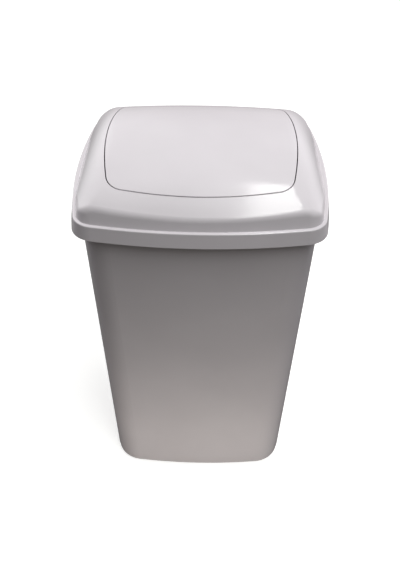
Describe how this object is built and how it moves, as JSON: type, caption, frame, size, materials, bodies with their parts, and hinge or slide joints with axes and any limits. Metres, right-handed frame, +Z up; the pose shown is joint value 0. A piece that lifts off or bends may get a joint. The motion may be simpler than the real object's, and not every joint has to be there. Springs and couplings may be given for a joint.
{
  "type": "swing-lid trash can",
  "caption": "Tapered household waste bin with a lift-off domed lid and a curved flap that swings both ways and returns to level by itself.",
  "frame": {"origin": "on the floor, under the middle of the bin", "axes": "+Z up, +X to the viewer's right, the front faces -Y"},
  "size_m": [0.4068, 0.357, 0.6627],
  "materials": {
    "bin_plastic": "glossy pale lavender-grey polypropylene",
    "lid_plastic": "glossy pale lavender-grey polypropylene",
    "flap_plastic": "glossy pale lavender-grey polypropylene",
    "pin_plastic": "natural acetal, satin",
    "rod_steel": "bright drawn steel"
  },
  "bodies": {
    "bin": {"bin_body": "bin_plastic"},
    "lid": {"lid_hood": "lid_plastic"},
    "flap": {"swing_flap": "flap_plastic", "pivot_pin_left": "pin_plastic", "pivot_pin_right": "pin_plastic", "counterweight_rod": "rod_steel"}
  },
  "joints": [
    {"name": "lid_lift", "type": "slide", "parent": "bin", "child": "lid", "axis": [0, 0, 1], "range_m": [0, 0.15]},
    {"name": "flap_swing", "type": "hinge", "parent": "lid", "child": "flap", "pos_m": [0, 0, 0.6378], "axis": [1, 0, 0], "range_deg": [-75, 75]}
  ]
}
